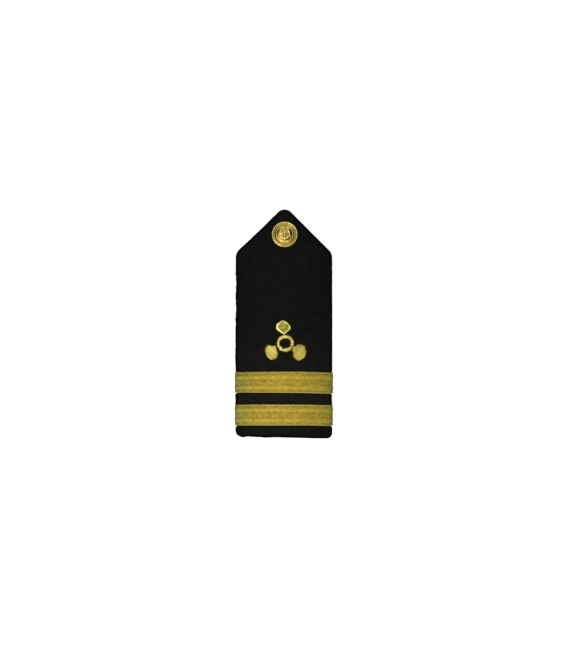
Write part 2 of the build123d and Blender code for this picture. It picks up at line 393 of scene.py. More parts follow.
def grey_ramp(tree, value, stops):
    """A grey that follows a value through stops of (place, brightness)."""
    return ramp(tree, value, [(place, (level, level, level)) for place, level in stops])


def mixed(tree, kind, factor, first, second):
    """Two colours mixed."""
    made = node(tree, "Mix", data_type="RGBA", blend_type=kind)
    for index, value in ((0, factor), (6, first), (7, second)):
        feed(tree, made.inputs[index], (*value, 1) if isinstance(value, tuple) else value)
    return made.outputs[2]


def attribute(tree, name):
    """A value that the mesh carries at each point."""
    return node(tree, "Attribute", attribute_name=name).outputs["Fac"]


def bump(tree, height, distance, strength=1.0, under=None):
    """A normal raised by a height of 0 to 1 over a distance in metres."""
    inputs = {"Height": height, "Distance": distance, "Strength": strength}
    if under is not None:
        inputs["Normal"] = under
    return node(tree, "Bump", inputs).outputs["Normal"]


def slanting_wave(tree, inputs):
    """A wave texture's value, in bands that slant."""
    return node(tree, "TexWave", inputs, bands_direction="DIAGONAL").outputs["Fac"]


# The cloth's colour along the board: the share of its length from the square end, and the colour there
cloth_tones = [
    (0.0, (0.0052, 0.0056, 0.0056)),
    (0.04, (0.0088, 0.0081, 0.0081)),
    (0.17, (0.0114, 0.0106, 0.0092)),
    (0.3, (0.0088, 0.0083, 0.0079)),
    (0.42, (0.0072, 0.007, 0.0067)),
    (0.55, (0.0062, 0.0062, 0.0062)),
    (1.0, (0.0059, 0.0061, 0.006)),
]

# The lace's painted shade across the board, darker and greener towards the ends and darkest where it turns
# down the sides: the share of 60 mm from left to right, and the tint there
painted_lace_shade = [
    (0.0, (0.2, 0.28, 0.34)),
    (0.034, (0.33, 0.43, 0.48)),
    (0.047, (0.53, 0.65, 0.68)),
    (0.09, (0.56, 0.67, 0.71)),
    (0.22, (0.77, 0.81, 0.86)),
    (0.36, (0.91, 0.92, 0.95)),
    (0.5, (0.97, 0.97, 1)),
    (0.62, (0.94, 0.96, 0.98)),
    (0.75, (0.84, 0.88, 0.93)),
    (0.87, (0.72, 0.81, 0.89)),
    (0.955, (0.57, 0.71, 0.76)),
    (0.968, (0.32, 0.42, 0.46)),
    (1.0, (0.2, 0.27, 0.32)),
]


def cloth_material():
    """Fulled black wool: a felted nap, browner and paler round the lace partly from a painted reflection of
    gold, darker towards its sides and blackest along the edges in painted shade.
    """
    material, tree = new_material("black_wool", 0.95, specular=0.03)
    place = coordinates(tree)
    fibres = noise(tree, coordinates(tree, scale=(1, 1, 0.4)), 1500, 3, 0.7)
    # Painted shade: the cloth is darker towards its left and right sides
    across = [(0.0, 0.8), (0.3, 0.95), (0.5, 1.0), (0.7, 0.92), (1.0, 0.74)]
    blotches = [(0.3, (0.74, 0.76, 0.8)), (0.7, (1.08, 1.06, 1.04))]
    colour = ramp(tree, share_along(tree, "Y", board_length / 1000), cloth_tones)
    for tint in (
        grey_ramp(tree, share_along(tree, "X", 0.058), across),
        ramp(tree, noise(tree, place, 230, 4), blotches),
        grey_ramp(tree, fibres, [(0.35, 0.4), (0.65, 1.2)]),
    ):
        colour = mixed(tree, "MULTIPLY", 1.0, colour, tint)
    # Painted reflection: brown-gold light painted on the cloth beside the gold
    colour = mixed(tree, "MIX", attribute(tree, "painted_reflection"), colour, (0.0115, 0.0085, 0.0))
    # Painted shade: the rolled edges are painted near black
    colour = mixed(tree, "MIX", attribute(tree, "rim"), colour, (0.0004, 0.0004, 0.0004))
    felt = bump(tree, noise(tree, place, 900, 4, 0.65), 0.00012, 0.6)
    return finished(material, colour, bump(tree, fibres, 0.00006, 0.7, felt))


def lace_material():
    """Woven gold lace: fine threads across ribs, mottled, with painted shade that makes it greener and duller
    towards the ends.
    """
    material, tree = new_material("gold_lace", 0.42, metallic=0.55, specular=0.3)
    threads = noise(tree, coordinates(tree, "UV", (1, 0.25, 1)), 2.2, 3, 0.65)
    mottle = noise(tree, coordinates(tree, "UV", (1, 0.9, 1)), 1.5, 3, 0.65)
    tones = [(0.3, (0.415, 0.297, 0.028)), (0.5, (0.485, 0.358, 0.036)), (0.7, (0.56, 0.43, 0.056))]
    streaks = ramp(tree, threads, [(0.35, (0.8, 0.77, 0.66)), (0.65, (1.03, 1.03, 1.03))])
    colour = mixed(tree, "MULTIPLY", 1.0, ramp(tree, mottle, tones), streaks)
    colour = mixed(tree, "MULTIPLY", attribute(tree, "shade"), colour, (0.6, 0.54, 0.33))
    colour = mixed(tree, "MULTIPLY", attribute(tree, "fleck"), colour, (0.62, 0.49, 0.28))
    colour = mixed(tree, "MIX", attribute(tree, "pale"), colour, (0.38, 0.33, 0.1))
    # Painted shade: darker and greener towards the ends of the lace
    colour = mixed(tree, "MULTIPLY", 1.0, colour, ramp(tree, share_along(tree, "X", 0.06), painted_lace_shade))
    return finished(material, colour, bump(tree, threads, 0.00008, 0.6))


def thread_material(name, stops, roughness, metallic):
    """Sewing thread: each stitch has its own shade, which picks its colour, and a fine twist."""
    material, tree = new_material(name, roughness, metallic=metallic, specular=0.35)
    worn = noise(tree, coordinates(tree), 1300, 3, 0.65)
    blend = scaled(tree, worn, 1.2, scaled(tree, attribute(tree, "shade"), 1.0, -0.6))
    twist = slanting_wave(tree, {"Vector": coordinates(tree, "UV", (1, 2, 1)), "Scale": 1.0})
    return finished(material, ramp(tree, blend, stops), bump(tree, twist, 0.00003, 0.5))


def gilt_material(name, colour, dull, roughness, dirt_and_shade=False):
    """Gilt metal with soft wear, and where a mesh carries them, dirt and painted shade in its recesses and
    painted highlights where it is worn bright.
    """
    material, tree = new_material(name, roughness, metallic=1.0)
    wear = noise(tree, coordinates(tree), 520, 4, 0.6)
    tint = ramp(tree, wear, [(0.35, dull), (0.62, colour)])
    rough = scaled(tree, wear, 0.2, roughness - 0.1)
    if dirt_and_shade:
        dark = attribute(tree, "dirt_and_shade")
        # Wear and painted highlights: a pale gold where the mesh says so
        tint = mixed(tree, "MIX", attribute(tree, "wear_and_highlight"), tint, (1.0, 0.87, 0.33))
        # Dirt and painted shade: a dark brown where the mesh says so
        tint = mixed(tree, "MIX", dark, tint, (0.02, 0.012, 0.0))
        rough = scaled(tree, dark, 0.3, rough)
    pits = noise(tree, coordinates(tree), 1500, 2)
    return finished(material, tint, bump(tree, pits, 0.00002, 0.3), rough)


def leather_material():
    """Black strap leather: pebbled grain, slightly rubbed."""
    material, tree = new_material("black_leather", 0.5, specular=0.4)
    place = coordinates(tree)
    grain = node(tree, "TexVoronoi", {"Vector": place, "Scale": 1300.0}, feature="DISTANCE_TO_EDGE")
    rubbed = noise(tree, place, 90, 4)
    colour = ramp(tree, rubbed, [(0.35, (0.009, 0.0085, 0.008)), (0.75, (0.024, 0.021, 0.018))])
    creased = bump(tree, noise(tree, place, 240, 3), 0.0001, 0.5)
    pebbled = bump(tree, grain.outputs["Distance"], 0.00008, 0.8, creased)
    return finished(material, colour, pebbled, scaled(tree, rubbed, -0.25, 0.62))


def twill_material():
    """Black twill: fine slanting ribs."""
    material, tree = new_material("black_twill", 0.85, specular=0.25)
    place = coordinates(tree)
    wave = {"Vector": place, "Scale": 420.0, "Distortion": 0.6, "Detail": 2.0, "Detail Scale": 1.5}
    ribs = slanting_wave(tree, wave)
    colour = ramp(tree, ribs, [(0.2, (0.008, 0.008, 0.009)), (0.8, (0.022, 0.022, 0.024))])
    uneven = grey_ramp(tree, noise(tree, place, 300, 3), [(0.3, 0.55), (0.7, 1.0)])
    return finished(material, mixed(tree, "MULTIPLY", 0.6, colour, uneven), bump(tree, ribs, 0.0001, 0.8))


# The cloth-covered board and the flat pieces under it


def medial(loop, low_y, high_y):
    """The point of the middle line that each point of a loop looks to."""
    y = np.clip(loop[:, 1], low_y, high_y)
    return np.stack([point_offset * (y - low_y) / (high_y - low_y), y], axis=1)


def slab(loop, middle, low, high, low_round, high_round, rings):
    """A closed slab with rolled edges over an outline: points, quads, how far down the rim, and ways outward.
    It runs from the height low up to the height high(x) over the underside."""
    away = outward(loop)
    rows, sides, normals = [], [], []

    def add_row(plan, height, side, flat, upward):
        rows.append(on_arch(plan[:, 0], plan[:, 1], height))
        sides.append(np.full(len(plan), side))
        normals.append(np.concatenate([away * flat, np.full((len(plan), 1), upward)], axis=1))

    turns = np.linspace(0, math.pi / 2, 8)
    rim = [(math.cos(turn), math.sin(turn)) for turn in turns]
    top = loop - away * high_round
    foot = loop - away * low_round
    for share in np.linspace(1, 0, rings)[:-1]:
        plan = top + (middle - top) * share
        add_row(plan, high(plan[:, 0]), 0.0, 0.0, 1.0)
    for cos, sin in rim[::-1]:
        height = high(top[:, 0]) - high_round * (1 - sin)
        add_row(loop - away * high_round * (1 - cos), height, cos, cos, sin)
    for cos, sin in rim:
        add_row(loop - away * low_round * (1 - cos), low + low_round * (1 - sin), 1.0, cos, -sin)
    for share in np.linspace(0, 1, rings // 2)[1:]:
        add_row(foot + (middle - foot) * share, low, 1.0, 0.0, -1.0)
    return np.array(rows), ring_quads(len(rows), len(loop)), np.array(sides), np.array(normals)


def welded(piece):
    """Joins the points of a slab that meet on its middle line."""
    made = bmesh.new()
    made.from_mesh(piece.data)
    bmesh.ops.remove_doubles(made, verts=made.verts, dist=1e-7)
    bmesh.ops.recalc_face_normals(made, faces=made.faces)
    made.to_mesh(piece.data)
    made.free()
    piece.data.shade_smooth()


def board_corners(inset=0.0, sharp=None):
    """The corners of the board's outline, drawn in by an inset, with their radii or all with a sharp one."""
    half_end, half_shoulder = half_square_end - inset, shoulder_width / 2 - inset
    tip = point_y - inset / math.sin(point_slope)
    shoulder = tip - half_shoulder / math.tan(point_slope)
    corners = [
        (-half_end, -half_length + end_slant + inset, left_end_round),
        (half_end, -half_length + inset, right_end_round),
        (half_shoulder, shoulder, shoulder_round),
        (point_offset, tip, point_round),
        (-half_shoulder, shoulder, shoulder_round),
    ]
    return [(x, y, sharp or radius) for x, y, radius in corners]


def strap_corners(inset=0.0):
    """The corners of the strap's outline, drawn in by an inset."""
    half = strap_width / 2 - inset
    tip_y = point_y - (strap_inset + inset) / math.sin(point_slope)
    side_y = tip_y - half / math.tan(point_slope)
    return [
        (point_offset - half, strap_start + inset, 0.3),
        (point_offset + half, strap_start + inset, 0.3),
        (point_offset + half, side_y, strap_point_round),
        (point_offset, tip_y, strap_point_round),
        (point_offset - half, side_y, strap_point_round),
    ]


def even_sides(loop, low_y, high_y, step):
    """The same loop with both long sides cut at the same stations, so that they meet on the middle line."""
    stations = np.arange(low_y, high_y + step / 2, step)
    sides = []
    for sign in (1, -1):
        side = loop[loop[:, 0] * sign > 0]
        side = side[np.argsort(side[:, 1])]
        band = side[(side[:, 1] > low_y - 2) & (side[:, 1] < high_y + 2)]
        x = np.interp(stations, band[:, 1], band[:, 0])
        sides.append(np.stack([x, stations], axis=1)[::sign])
    ahead = loop[loop[:, 1] > high_y + step / 2]
    ahead = ahead[np.argsort(np.arctan2(ahead[:, 1] - high_y, ahead[:, 0]))]
    behind = loop[loop[:, 1] < low_y - step / 2]
    behind = behind[np.argsort(np.arctan2(behind[:, 1] - low_y, behind[:, 0]))]
    return np.concatenate([sides[0], ahead, sides[1], behind])


# Where the cloth's edge bulges or is drawn in: x, y, how far that reaches along the edge, and how far out
edge_bulges = [
    (-26.0, 45.0, 8.0, 0.3),
    (-23.8, -67.2, 1.7, 0.35),
    (-20.6, -67.2, 1.8, -0.25),
    (-8.0, -67.5, 4.5, 0.35),
    (15.0, -68.0, 6.0, 0.1),
    (-28.7, -44.1, 3.0, -0.12),
    (28.7, -44.1, 3.0, -0.2),
]


# How far down the edges of both stripes of lace run, in millimetres, at places x across the board
edge_drops = {
    "x": (-26.4, -21.6, -16.9, -12.0, -4.0, 4.0, 11.5, 16.3, 21.0, 25.8),
    "upper_top": (0.35, 0.22, 0.16, 0.05, 0.0, 0.0, 0.12, 0.22, 0.33, 0.6),
    "upper_bottom": (0.12, 0.0, 0.0, 0.0, 0.0, 0.02, 0.1, 0.31, 0.52, 0.69),
    "lower_top": (0.44, 0.22, 0.12, 0.1, 0.06, 0.14, 0.17, 0.33, 0.49, 0.65),
    "lower_bottom": (0.3, 0.24, 0.2, 0.17, 0.18, 0.1, 0.16, 0.18, 0.4, 0.53),
}


def edge_drop(x, edge):
    """How far down one edge of the lace runs at x."""
    return np.interp(x, edge_drops["x"], edge_drops[edge])


def lace_off(x, y):
    """How far points (x, y) are from the middle line of the nearer stripe of lace."""
    offs = []
    for stripe, station in (("lower", lower_lace_y), ("upper", upper_lace_y)):
        drop = (edge_drop(x, stripe + "_top") + edge_drop(x, stripe + "_bottom")) / 2
        offs.append(np.abs(y - station + drop))
    return np.minimum(*offs)


def painted_gold_reflection(x, y):
    """How near points (x, y) of the cloth are to gold, from 0 to 1, which sets a painted reflection of gold
    light on the cloth.
    """
    off_button = np.hypot(x - point_offset, y - button_y) - button_radius
    off = np.minimum(lace_off(x, y) - woven_width / 2, off_button)
    near = np.hypot(x - hub_x, y - hub_y) < embroidery_reach
    circle = np.stack([np.cos(whole_turn(60)), np.sin(whole_turn(60))], axis=1)
    rings = [hub_hole_radius * circle, hub_rim_radius * circle]
    for outline in (left_blade_outline, right_blade_outline, top_blade_outline, *rings):
        loop = smooth_loop(outline, 120) + np.array([hub_x, hub_y])
        distances = np.hypot(x[near][:, None] - loop[:, 0], y[near][:, None] - loop[:, 1]).min(axis=1)
        off[near] = np.minimum(off[near], distances)
    strength, spread = 1.3, 0.8
    return np.minimum(strength * np.exp(-((np.clip(off, 0, None) / spread) ** 2)), 1)


def make_board(material):
    """The cloth over its padded stiffener, pressed in under the lace and softly uneven at its edges."""
    side_low, side_high, step = -62.0, 38.9, 0.42
    loop = even_sides(rounded_loop(board_corners(), step), side_low, side_high, step)
    middle = medial(loop, side_low, side_high)
    lengths = lengths_along(loop)
    ripple = 0.11 * soft_noise(lengths, 0.0, 4.6, 3) + 0.09 * soft_noise(lengths, 0.0, 1.6, 4)
    left = smooth_step(0.0, -6.0, loop[:, 0]) * smooth_step(40.0, 34.0, loop[:, 1])
    out = cloth_nap + 0.07 * smooth_step(10.0, 25.0, loop[:, 0]) + ripple * (0.35 + 1.3 * left)
    for bulge_x, bulge_y, reach, most in edge_bulges:
        off = np.hypot(loop[:, 0] - bulge_x, loop[:, 1] - bulge_y)
        out += most * np.exp(-((off / reach) ** 2))
    loop = loop + outward(loop) * out[:, None]
    points, quads, sides, normals = slab(loop, middle, 0.0, crown, under_rim_round, top_rim_round, 54)
    # The pulled lace presses the cloth in, on the top, the sides and the turned-under margin
    upward = normals[:, :, 2]
    reach = lace_width / 2
    depth = 1 - smooth_step(reach + 0.1, reach + 0.55, lace_off(points[:, :, 0], points[:, :, 1]))
    inside = half_width((lower_lace_y + upper_lace_y) / 2) - lace_turn_under - 0.4
    margin = smooth_step(inside - 0.6, inside, np.abs(points[:, :, 0]))
    depth = depth * np.where(upward < -0.99, margin, 1.0) * lace_bed_depth
    points = points - normals * depth[:, :, None]
    x, y = points[:, :, 0], points[:, :, 1]
    uneven = 0.05 * soft_noise(x, y, 9, 5) + 0.02 * soft_noise(x, y, 1.3, 6)
    points[:, :, 2] += uneven * (upward > 0.99)
    inside = np.hypot(x - loop[:, 0], y - loop[:, 1])
    # Painted shade: the rolled edges, and the top close to them, are painted near black
    rim = np.maximum(smooth_step(0.0, 0.5, sides), 0.8 * smooth_step(2.0, 1.2, inside))
    # Painted reflection: only the top of the cloth takes the gold's painted reflection
    tones = {"rim": rim, "painted_reflection": painted_gold_reflection(x, y) * (upward > 0.5)}
    board = add_piece("cloth_cover", leaned(points), quads, material, ["board"], tones=tones)
    welded(board)
    return loop


# The lace


def lace_line(step):
    """The lace's line round the board's section, as points (x, z) and outward directions (x, z)."""
    side = half_width((lower_lace_y + upper_lace_y) / 2)
    upright_x = side - lace_inset
    bend = lace_bend + lace_bed_depth - lace_inset
    bend_x = upright_x - bend
    radius = crown_radius - lace_inset
    slope = math.acos(bend_x / (radius - bend))
    bend_z = crown_centre + (radius - bend) * math.sin(slope)
    stops = []

    def add_arc(centre_x, centre_z, arc_radius, start, end):
        for angle in np.linspace(start, end, max(9, int(arc_radius * abs(end - start) / step)))[:-1]:
            cos, sin = math.cos(angle), math.sin(angle)
            stops.append((centre_x + arc_radius * cos, centre_z + arc_radius * sin, cos, sin))

    def add_line(start, end, way):
        for share in np.linspace(0, 1, max(3, int(math.dist(start, end) / step)))[:-1]:
            stops.append((*[a + (b - a) * share for a, b in zip(start, end)], *way))

    low = lace_inset
    foot = (side - lace_turn_under, low)
    add_arc(0, crown_centre, radius, math.pi / 2, slope)
    add_arc(bend_x, bend_z, bend, slope, 0)
    add_line((upright_x, bend_z), (upright_x, low + bend), (1, 0))
    add_arc(bend_x, low + bend, bend, 0, -math.pi / 2)
    add_line((bend_x, low), foot, (0, -1))
    stops.append((*foot, 0, -1))
    right = np.array(stops)
    both = np.concatenate([(right * [-1, 1, -1, 1])[:0:-1], right])
    return both[:, :2], both[:, 2:]


# Across the lace, from its lower selvage to its upper: place, height, how shaded and how pale it is
lace_profile = [
    (-6.2, 0.04, 0.5, 0.6),
    (-5.95, 0.19, 0.35, 0.9),
    (-5.5, 0.06, 0.7, 0.1),
    (-4.9, 0.09, 0.75, 0.0),
    (-4.3, 0.08, 0.6, 0.0),
    (-3.75, 0.21, 0.34, 0.0),
    (-3.15, 0.27, 0.24, 0.0),
    (-2.35, 0.27, 0.24, 0.0),
    (-1.75, 0.21, 0.34, 0.0),
    (-1.3, 0.1, 0.55, 0.0),
    (-0.6, 0.13, 0.6, 0.0),
    (0.0, 0.16, 0.52, 0.0),
    (0.5, 0.16, 0.6, 0.0),
    (1.3, 0.13, 0.66, 0.0),
    (1.9, 0.1, 0.55, 0.0),
    (2.4, 0.21, 0.32, 0.0),
    (2.95, 0.27, 0.24, 0.0),
    (3.7, 0.27, 0.24, 0.0),
    (4.2, 0.21, 0.36, 0.0),
    (4.6, 0.09, 0.6, 0.0),
    (5.1, 0.09, 0.75, 0.0),
    (5.55, 0.06, 0.7, 0.1),
    (5.95, 0.19, 0.4, 0.5),
    (6.2, 0.04, 0.6, 0.3),
]
profile_columns = ("place", "height", "shade", "pale")


def lace_column(v, column):
    """One column of the lace's profile at places v across it, with smooth changes between the rows."""
    table = np.array(lace_profile)
    places, values = table[:, 0], table[:, profile_columns.index(column)]
    index = np.clip(np.searchsorted(places, v) - 1, 0, len(places) - 2)
    share = smooth_step(places[index], places[index + 1], v)
    return values[index] * (1 - share) + values[index + 1] * share


def make_lace(stripe, y, seed, material):
    """One stripe of lace, with ribs, selvages and a zigzag centre, wrapped round and turned under."""
    line, ways = lace_line(weft_pitch / 3)
    lengths = lengths_along(line)
    across = np.linspace(-woven_width / 2, woven_width / 2, 80)
    u, v = np.meshgrid(lengths, across, indexing="ij")
    shade = lace_column(v, "shade")
    # Each weft thread has its own tone in each band that it crosses
    weft = u / weft_pitch + 0.3 * soft_noise(u, v, 3.0, seed)
    tones = np.random.default_rng(seed).uniform(-1, 1, (512, 5))
    tone = tones[np.floor(weft).astype(int) % 512, np.digitize(v, [-4.3, -1.75, 1.75, 4.3])]
    zigzag = np.abs((u / 1.3 + np.abs(v) / 1.7 + 0.5 * soft_noise(u, 0.0, 3.1, seed + 1)) % 1.0 - 0.5) * 2
    centre = np.clip(1 - (np.abs(v) / 1.6) ** 4, 0, 1)
    height = lace_column(v, "height") + 0.035 * np.cos(2 * math.pi * weft) * (1 - 0.5 * centre)
    height += 0.07 * (zigzag - 0.5) * centre + 0.012 * tone + 0.03 * soft_noise(u, v, 1.6, seed + 2)
    row = v + 0.35 * soft_noise(u, v, 3.5, seed + 7)
    fleck = smooth_step(0.2, 0.8, soft_noise(u * 0.55, row * 1.5, 0.62, seed + 3)) * (0.2 + 0.8 * shade)
    shade = shade + 0.2 * tone + 0.2 * centre * (0.5 - zigzag) + 0.15 * soft_noise(u, v * 2, 2.2, seed + 4)
    shade = np.clip(shade + 0.3 * soft_noise(u * 1.3, v, 0.7, seed + 6), 0, 1)
    edge = smooth_step(0.94, 1.0, np.abs(v) / (woven_width / 2))
    loops = 0.1 * np.abs(np.sin(math.pi * u / 0.85)) + 0.09 * soft_noise(u, 0.0, 1.3, seed + 5)
    along = v + np.sign(v) * loops * edge * np.where(v > 0, 1.0, 0.4)
    top_drop, foot_drop = [edge_drop(line[:, 0], stripe + side)[:, None] for side in ("_top", "_bottom")]
    along = along - foot_drop - (top_drop - foot_drop) * (v / woven_width + 0.5)
    line[:, 0] += 0.17 * smooth_step(10.0, 27.0, line[:, 0])
    outer = line[:, None, :] + ways[:, None, :] * (lace_base + height)[:, :, None]
    points = at_station(outer[:, :, 0], along, outer[:, :, 1], y)
    back = at_station(line[:, 0][:, None], along[:, [-1, 0]], line[:, 1][:, None], y)
    points = leaned(np.concatenate([points, back], axis=1))

    def with_back(values):
        return np.concatenate([values, values[:, [-1, 0]]], axis=1)

    rows, columns = points.shape[:2]
    caps = [np.arange(columns)[::-1], np.arange(columns) + (rows - 1) * columns]
    carried = {"shade": shade, "fleck": fleck, "pale": lace_column(v, "pale")}
    lace = add_piece(
        stripe + "_lace_weave", points, ring_quads(rows, columns), material, [stripe + "_lace"],
        uv=with_back(np.stack([u, v], axis=-1)),
        tones={name: with_back(values) for name, values in carried.items()},
        caps=caps,
    )


# The embroidery


def surface(x, y):
    """The cloth's height under points (x, y)."""
    return on_arch(x, y, crown(x))[..., 2]


def chord_ends(outline, middle, direction, offset):
    """Where a line across an outline meets it first and last, as distances along its direction."""
    side = quarter_turned(direction)
    start = middle + side * offset
    here, ahead = outline - start, np.roll(outline, -1, axis=0) - start
    a, b = here @ side, ahead @ side
    crossing = (a * b) < 0
    share = a[crossing] / (a[crossing] - b[crossing])
    places = (here[crossing] + (ahead[crossing] - here[crossing]) * share[:, None]) @ direction
    return (places.min(), places.max()) if len(places) > 1 else None


def smooth_loop(points, count):
    """A smooth closed curve through points, as count points."""
    points = np.array(points, float)
    size = len(points)
    at = np.arange(count) * size / count
    index = np.floor(at).astype(int)
    t = (at - index)[:, None]
    p = [points[(index + k) % size] for k in (-1, 0, 1, 2)]
    return 0.5 * (
        2 * p[1] + (p[2] - p[0]) * t + (2 * p[0] - 5 * p[1] + 4 * p[2] - p[3]) * t**2
        + (3 * p[1] - p[0] - 3 * p[2] + p[3]) * t**3
    )


def stitches(name, starts, ends, height, width, tones, rng, material, stands_for=(), stations=13):
    """Satin stitches from starts to ends, each bowed over its padding and with its own tone from 0 to 1."""
    starts, ends, tones = np.array(starts), np.array(ends), np.array(tones)
    sides = 8
    count = len(starts)
    share = np.linspace(0, 1, stations)
    plan = starts[:, None, :] + (ends - starts)[:, None, :] * share[:, None]
    bow = (1 - np.abs(2 * share - 1) ** 3.2)[None, :]
    rise = height * (1 + rng.uniform(-0.1, 0.1, (count, 1)))
    z = surface(plan[:, :, 0], plan[:, :, 1]) - 0.12 + (rise + 0.12) * bow**0.6
    lines = np.concatenate([plan, z[:, :, None]], axis=2)
    radii = width / 2 * (0.35 + 0.65 * bow**0.4) * (1 + rng.uniform(-0.12, 0.12, (count, 1)))
    points, quads, uv = tubes(lines, radii, sides, 0.75)
    shades = np.clip(tones + rng.uniform(-0.16, 0.16, count), 0, 1.2)[:, None, None]
    # Painted shade: a stitch is darker low on its sides and where it dives into the cloth
    upper = 0.55 + 0.45 * smooth_step(-0.2, 0.9, np.sin(whole_turn(sides)))
    shades = shades * upper * (0.5 + 0.5 * bow[:, :, None] ** 0.7)
    add_piece(name, points, quads, material, stands_for, uv=uv, tones={"shade": shades})


# The blades' outlines, in millimetres from the hub's middle
left_blade_outline = [
    (-10.18, -0.96), (-8.83, -1.25), (-7.53, -1.55), (-6.9, -1.4), (-6.08, -1.5), (-5.31, -2.5),
    (-4.92, -3.9), (-4.39, -5.35), (-4.49, -6.9), (-4.92, -8.49), (-5.79, -9.21), (-7.24, -9.84),
    (-8.11, -9.79), (-9.65, -8.63), (-11.0, -7.28), (-11.77, -5.45), (-12.11, -3.9), (-11.77, -2.31),
]
right_blade_outline = [
    (7.76, -0.57), (9.16, -0.67), (10.71, -1.01), (11.72, -2.02), (12.3, -3.95), (12.3, -5.59),
    (11.91, -7.14), (10.9, -8.54), (9.55, -9.55), (8.1, -10.18), (6.56, -10.03), (5.21, -8.78),
    (4.48, -7.33), (4.58, -5.79), (4.05, -4.14), (4.63, -2.6), (5.5, -1.59), (6.37, -1.54),
]
top_blade_outline = [
    (-1.72, 13.56), (-0.23, 13.04), (1.11, 12.22), (2.16, 11.02), (2.8, 9.9), (2.98, 9.1), (2.8, 8.5),
    (2.03, 7.66), (1.09, 6.71), (0.33, 5.94), (-0.38, 5.45), (-1.08, 5.3), (-1.68, 5.74), (-3.06, 6.59),
    (-4.29, 7.65), (-5.31, 8.65), (-5.29, 9.93), (-5.23, 11.08), (-4.45, 11.91), (-3.23, 12.75),
    (-2.32, 13.43),
]


def make_side_blade(name, outline, slope, brightness, contrast, seed, material):
    """One side blade of slanting satin stitches, in bundles of slightly different gold."""
    rng = np.random.default_rng(seed)
    loop = smooth_loop(outline, 200) + np.array([hub_x, hub_y])
    middle = loop.mean(axis=0)
    direction = heading(slope)
    side = quarter_turned(direction)
    starts, ends, tones = [], [], []
    reach = np.abs((loop - middle) @ side).max()
    for offset in np.arange(-reach + 0.12, reach - 0.05, thread_pitch):
        found = chord_ends(loop, middle, direction, offset)
        if found:
            jitter = rng.uniform(-0.2, 0.2, 2)
            base = middle + side * (offset + rng.uniform(-0.05, 0.05))
            starts.append(base + direction * (found[0] + jitter[0]))
            ends.append(base + direction * (found[1] + jitter[1]))
            tones.append(brightness + contrast * (soft_noise(offset, 0.0, 0.8, seed) + rng.uniform(-1, 1)))
    width = thread_pitch * 1.22
    stitches(name + "_stitches", starts, ends, 1.0, width, tones, rng, material, [name], 19)


def make_hub(material):
    """The hub's ring of radial satin stitches, toothed where its bundles meet."""
    rng = np.random.default_rng(21)
    bundles, in_bundle = 15, 7
    count = bundles * in_bundle
    turns = whole_turn(count) + rng.uniform(-0.012, 0.012, count)
    place = (np.arange(count) % in_bundle + 0.5) / in_bundle
    tooth = np.sin(math.pi * place) * np.repeat(rng.uniform(0.6, 1.3, bundles), in_bundle)
    low = np.clip(-np.sin(turns), 0, 1)
    across, along = 3.95 - 0.75 * tooth, 3.35 - 0.7 * tooth
    outer = 4.97 + (0.12 + 0.5 * low) * (tooth - 0.5) + rng.uniform(-0.08, 0.08, count) * (1 + low)
    skew = 0.1
    starts = np.stack([hub_x - 0.1 + across * np.cos(turns), hub_y + 0.05 + along * np.sin(turns)], axis=1)
    ends = np.stack([hub_x + outer * np.cos(turns + skew), hub_y + outer * np.sin(turns + skew)], axis=1)
    # Painted shade: the ring is a little darker towards its right
    tones = 0.68 + 0.2 * (tooth - 0.6) - 0.05 * np.cos(turns)
    tones = tones + np.repeat(rng.uniform(-0.1, 0.1, bundles), in_bundle)
    stitches("propeller_hub_stitches", starts, ends, 1.05, 0.42, tones, rng, material, ["propeller_hub"])


def make_top_blade(border_material, fill_material):
    """The top blade: a satin border round a lower, mottled filling."""
    rng = np.random.default_rng(31)
    loop = smooth_loop(top_blade_outline, 200)[::-1] + np.array([hub_x, hub_y])
    border_pitch = 0.27
    loop = resampled(np.concatenate([loop, loop[:1]]), border_pitch)[:-1]
    away = outward(loop)
    left = smooth_step(-1.0, -4.5, loop[:, 0] - hub_x)
    width = 0.65 + 0.45 * left
    starts = loop + away * rng.uniform(-0.06, 0.06, (len(loop), 1))
    ends = loop - away * (width + rng.uniform(-0.08, 0.08, len(loop)))[:, None]
    # Painted highlight: the border is lighter on its left, up to the whitish top of its colours
    tones = 0.78 + 0.24 * left + 0.25 * soft_noise(np.arange(len(loop)), 0.0, 5.0, 32)
    stitches("top_blade_border", starts, ends, 1.0, 0.4, tones, rng, border_material, ["top_blade"], 9)
    # Short filling stitches, laid in staggered rows
    inner = loop - away * 0.5
    middle = inner.mean(axis=0)
    direction = heading(62)
    side = quarter_turned(direction)
    starts, ends = [], []
    length = 1.4
    reach = 4.4
    row_pitch = 0.3
    for row, offset in enumerate(np.arange(-reach, reach, row_pitch)):
        found = chord_ends(inner, middle, direction, offset)
        if not found:
            continue
        place = found[0] - (row % 3) * length / 3
        while place < found[1]:
            first, last = max(place, found[0]), min(place + length, found[1])
            if last - first > 0.3:
                base = middle + side * (offset + rng.uniform(-0.05, 0.05))
                starts.append(base + direction * first)
                ends.append(base + direction * last)
            place += length
    at = (np.array(starts) + np.array(ends)) / 2 - middle
    tones = 0.5 + 0.45 * soft_noise(at[:, 0], at[:, 1], 0.8, 35) + 0.4 * np.exp(-np.sum(at**2, axis=1) / 1.6)
    stitches("top_blade_filling", starts, ends, 0.62, 0.38, tones, rng, fill_material, (), 9)


# The button

# Its bead ring, broad ring and outer roll: middle and half width as shares of its radius, height, and how
# much wear and painted highlight its crest carries
button_rings = [(0.655, 0.032, 0.28, 0.6), (0.832, 0.055, 0.22, 0.1), (0.965, 0.033, 0.2, 0.6)]

# Dark crescents beside the raised figure: middle and reach in degrees, inner and outer radius, strength
dark_crescents = [
    (16, 44, 3.2, 4.8, 1.0),
    (162, 30, 3.6, 4.8, 0.9),
    (304, 32, 3.0, 3.9, 1.0),
    (247, 18, 3.0, 3.7, 0.85),
    (232, 28, 3.7, 4.8, 0.4),
]

